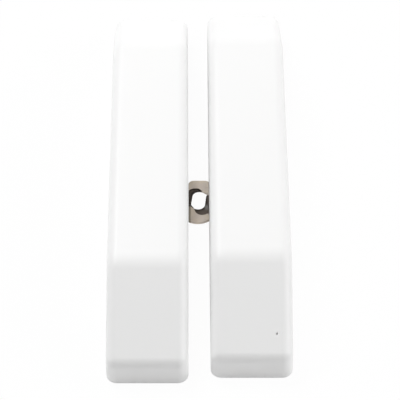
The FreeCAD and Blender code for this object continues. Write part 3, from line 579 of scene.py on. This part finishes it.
def smoothCopy(node):
    mesh = mergedMesh(node)
    draft = bpy.data.objects.new("draft", mesh)
    scene.collection.objects.link(draft)
    if node in smoothing["softEdge"]:
        soft = draft.modifiers.new("softEdge", "BEVEL")
        soft.width = smoothing["softEdge"][node]
        soft.segments = smoothing["softSegments"]
        soft.limit_method = "ANGLE"
        soft.angle_limit = math.radians(smoothing["softAngle"])
        soft.use_clamp_overlap = True
        mesh = evaluated(draft)
    mesh.set_sharp_from_angle(angle=math.radians(smoothing["sharpAngle"]))
    draft.data = mesh
    draft.modifiers.clear()
    even = draft.modifiers.new("evenNormals", "WEIGHTED_NORMAL")
    even.keep_sharp = True
    even.weight = smoothing["faceWeight"]
    mesh = evaluated(draft)
    bpy.data.objects.remove(draft)
    return mesh


for node, finish in nodeFinish.items():
    if node in keptAsBuilt:
        nodes[node].data.materials.clear()
        nodes[node].data.materials.append(finishes[finish])
    else:
        smooth = addPiece(node + "_smooth", smoothCopy(node), bodyOf[node], finish)
        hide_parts(node)
print("door contact: every node finished")


# Small repeated parts on the board: rows of one form, laid out with Geometry Nodes
rowInputs = {
    "Count": "NodeSocketInt",
    "Start": "NodeSocketVector",
    "Step": "NodeSocketVector",
    "Size": "NodeSocketVector",
    "Finish": "NodeSocketMaterial",
}
dome = {"segments": 12, "rings": 8}


# Each form is one unit across, so that its size comes from the row's Size input
def unitForm(tree, shape):
    if shape == "block":
        form = tree.nodes.new("GeometryNodeMeshCube")
        feed(tree, (1, 1, 1), form.inputs["Size"])
    else:
        form = tree.nodes.new("GeometryNodeMeshUVSphere")
        feed(tree, dome["segments"], form.inputs["Segments"])
        feed(tree, dome["rings"], form.inputs["Rings"])
        feed(tree, 0.5, form.inputs["Radius"])
    return form.outputs["Mesh"]


def rowTree(name, shape):
    tree = bpy.data.node_groups.new(name, "GeometryNodeTree")
    keys = {}
    for label, kind in rowInputs.items():
        keys[label] = tree.interface.new_socket(name=label, in_out="INPUT", socket_type=kind).identifier
    tree.interface.new_socket(name="Geometry", in_out="OUTPUT", socket_type="NodeSocketGeometry")
    given = tree.nodes.new("NodeGroupInput").outputs
    line = tree.nodes.new("GeometryNodeMeshLine")
    feed(tree, given["Count"], line.inputs["Count"])
    feed(tree, given["Start"], line.inputs["Start Location"])
    feed(tree, given["Step"], line.inputs["Offset"])
    onPoints = tree.nodes.new("GeometryNodeInstanceOnPoints")
    feed(tree, line.outputs["Mesh"], onPoints.inputs["Points"])
    feed(tree, unitForm(tree, shape), onPoints.inputs["Instance"])
    feed(tree, given["Size"], onPoints.inputs["Scale"])
    real = tree.nodes.new("GeometryNodeRealizeInstances")
    feed(tree, onPoints.outputs["Instances"], real.inputs["Geometry"])
    finish = tree.nodes.new("GeometryNodeSetMaterial")
    feed(tree, real.outputs["Geometry"], finish.inputs["Geometry"])
    feed(tree, given["Finish"], finish.inputs["Material"])
    out = tree.nodes.new("NodeGroupOutput")
    feed(tree, finish.outputs["Geometry"], out.inputs["Geometry"])
    return tree, keys


rowTrees = {"block": rowTree("rowOfBlocks", "block"), "dome": rowTree("rowOfDomes", "dome")}


# A row is its count, start, step and size
def rowPiece(name, shape, finish, rows):
    tree, keys = rowTrees[shape]
    joined = bmesh.new()
    for row in rows:
        draft = bpy.data.objects.new("rowDraft", bpy.data.meshes.new("rowDraft"))
        scene.collection.objects.link(draft)
        laid = draft.modifiers.new("row", "NODES")
        laid.node_group = tree
        for label, value in zip(rowInputs, (*row, finishes[finish])):
            laid[keys[label]] = value
        joined.from_mesh(evaluated(draft))
        draft.modifiers.clear()
        bpy.data.objects.remove(draft)
    mesh = bpy.data.meshes.new(name)
    joined.to_mesh(mesh)
    joined.free()
    if shape == "dome":
        mesh.shade_smooth()
    addPiece(name, mesh, "contact_set", finish)


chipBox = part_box("microcontroller")
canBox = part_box("radio_module")
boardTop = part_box("circuit_board")[1].z

# Chip's legs: a row of them along each of its four sides
legs = {
    "size": (0.0007, 0.00032, 0.00012),
    "pitch": 0.0008,
    "count": 5,                   # along each side
    "middle": 0.3,                # share of a leg's length from the chip's side to the leg's middle
}


def chipLegs():
    size = legs["size"]
    turned = (size[1], size[0], size[2])
    middle = (chipBox[0] + chipBox[1]) / 2
    first = -legs["pitch"] * (legs["count"] - 1) / 2
    out = size[0] * legs["middle"]
    height = boardTop + size[2] / 2
    rows = []
    for side in (chipBox[0].x - out, chipBox[1].x + out):
        rows.append((legs["count"], (side, middle.y + first, height), (0, legs["pitch"], 0), size))
    for side in (chipBox[0].y - out, chipBox[1].y + out):
        rows.append((legs["count"], (middle.x + first, side, height), (legs["pitch"], 0, 0), turned))
    rowPiece("chip_legs", "block", "solder", rows)


# Surface-mounted parts: count of a row, then its start to the right of and beyond a neighbour's corner
passives = {
    "size": (0.0010, 0.0005, 0.00045),
    "pitch": 0.0021,
    "behindCan": (4, 0.0009, 0.0013),
    "leftOfChip": (3, -0.0021, 0.0004),
    "leftOfCan": (3, -0.0016, 0.0012),
}


def passiveParts():
    size = passives["size"]
    turned = (size[1], size[0], size[2])
    alongX = (passives["pitch"], 0, 0)
    alongY = (0, passives["pitch"], 0)
    height = boardTop + size[2] / 2
    layout = (
        ("behindCan", canBox[0].x, canBox[1].y, alongX, size),
        ("leftOfChip", chipBox[0].x, chipBox[0].y, alongY, turned),
        ("leftOfCan", canBox[0].x, canBox[0].y, alongY, turned),
    )
    rows = []
    for place, cornerX, cornerY, step, form in layout:
        count, right, beyond = passives[place]
        rows.append((count, (cornerX + right, cornerY + beyond, height), step, form))
    rowPiece("board_chip_parts", "block", "chipResin", rows)


# Solder where the antenna and the reed switch end on the board
solderSpots = {"size": (0.0011, 0.0011, 0.0003), "antennaInset": 0.0004, "reedInset": 0.0003}


def solderDots():
    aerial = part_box("antenna")
    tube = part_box("reed_switch")
    aerialY = (aerial[0].y + aerial[1].y) / 2
    tubeX = (tube[0].x + tube[1].x) / 2
    span = aerial[1].x - aerial[0].x - 2 * solderSpots["antennaInset"]
    reach = tube[1].y - tube[0].y - 2 * solderSpots["reedInset"]
    size = solderSpots["size"]
    rows = [
        (2, (aerial[0].x + solderSpots["antennaInset"], aerialY, boardTop), (span, 0, 0), size),
        (2, (tubeX, tube[0].y + solderSpots["reedInset"], boardTop), (0, reach, 0), size),
    ]
    rowPiece("solder_dots", "dome", "solder", rows)


chipLegs()
passiveParts()
solderDots()
print("door contact: board populated")


# Floor, backdrop and light
studio = {
    "floorHalf": 3.0,
    "floorDrop": -0.00012,
    "floorGrey": 0.95,            # what the object's light bounces from
    "floorSeen": 0.96,            # what the camera and the reflections see
    "floorGlow": 0.96,
    "paperScale": 900.0,
    "paperTone": (0.99, 1.01),
    "skyLevel": 0.36,
    "skySeen": 1.0,
    "lampDistance": 0.9,
    "lampSize": 0.55,
    "lamps": {                    # degrees from straight up, degrees from +Y towards +X, watts
        "keySoftbox": (35, -40, 4.2),
        "backSoftbox": (60, 0, 0.2),
        "rightSoftbox": (60, 90, 3.1),
        "leftSoftbox": (60, -90, 0.85),
        "frontFill": (50, 180, 0.2),
    },
}
white = (1, 1, 1)


# 1 for what the camera, a reflection or a view through glass shows, 0 for light on the object
def seenFactor(tree):
    path = tree.nodes.new("ShaderNodeLightPath").outputs
    return mathChain(tree, "MAXIMUM", path["Is Camera Ray"], path["Is Glossy Ray"],
                     path["Is Transmission Ray"])


def floorMaterial():
    made = bpy.data.materials.new("paleFloor")
    made.use_nodes = True
    tree = made.node_tree
    tree.nodes.clear()
    seen = seenFactor(tree)
    grey = rangeNode(tree, seen, (0, 1), (studio["floorGrey"], studio["floorSeen"]))
    fibres = noiseNode(tree, objectPlace(tree), studio["paperScale"])
    paper = rangeNode(tree, fibres, noiseSpan, studio["paperTone"])
    matt = tree.nodes.new("ShaderNodeBsdfDiffuse")
    feed(tree, mathNode(tree, "MULTIPLY", grey, paper), matt.inputs["Color"])
    glow = tree.nodes.new("ShaderNodeEmission")
    feed(tree, white, glow.inputs["Color"])
    blend = tree.nodes.new("ShaderNodeMixShader")
    feed(tree, mathNode(tree, "MULTIPLY", seen, studio["floorGlow"]), blend.inputs[0])
    feed(tree, matt.outputs[0], blend.inputs[1])
    feed(tree, glow.outputs[0], blend.inputs[2])
    out = tree.nodes.new("ShaderNodeOutputMaterial")
    feed(tree, blend.outputs[0], out.inputs["Surface"])
    return made


def makeFloor():
    half = studio["floorHalf"]
    corners = [(x * half, y * half, studio["floorDrop"]) for x, y in ((-1, -1), (1, -1), (1, 1), (-1, 1))]
    mesh = bpy.data.meshes.new("paleFloor")
    mesh.from_pydata(corners, [], [(0, 1, 2, 3)])
    mesh.materials.append(floorMaterial())
    floor = bpy.data.objects.new("paleFloor", mesh)
    scene.collection.objects.link(floor)


def makeSky():
    world = bpy.data.worlds.new("studioSky")
    world.use_nodes = True
    scene.world = world
    tree = world.node_tree
    sky = tree.nodes["Background"]
    level = rangeNode(tree, seenFactor(tree), (0, 1), (studio["skyLevel"], studio["skySeen"]))
    feed(tree, white, sky.inputs["Color"])
    feed(tree, level, sky.inputs["Strength"])


def makeLamp(name, tilt, turn, power):
    lamp = bpy.data.lights.new(name, "AREA")
    lamp.shape = "DISK"
    lamp.size = studio["lampSize"]
    lamp.energy = power
    holder = bpy.data.objects.new(name, lamp)
    tilt, turn = math.radians(tilt), math.radians(turn)
    aim = Vector((math.sin(tilt) * math.sin(turn), math.sin(tilt) * math.cos(turn), math.cos(tilt)))
    holder.location = aim * studio["lampDistance"]
    holder.rotation_euler = aim.to_track_quat("Z", "Y").to_euler()
    scene.collection.objects.link(holder)


makeFloor()
makeSky()
for name, setting in studio["lamps"].items():
    makeLamp(name, *setting)
scene.view_settings.view_transform = "Standard"
print("door contact: studio ready")
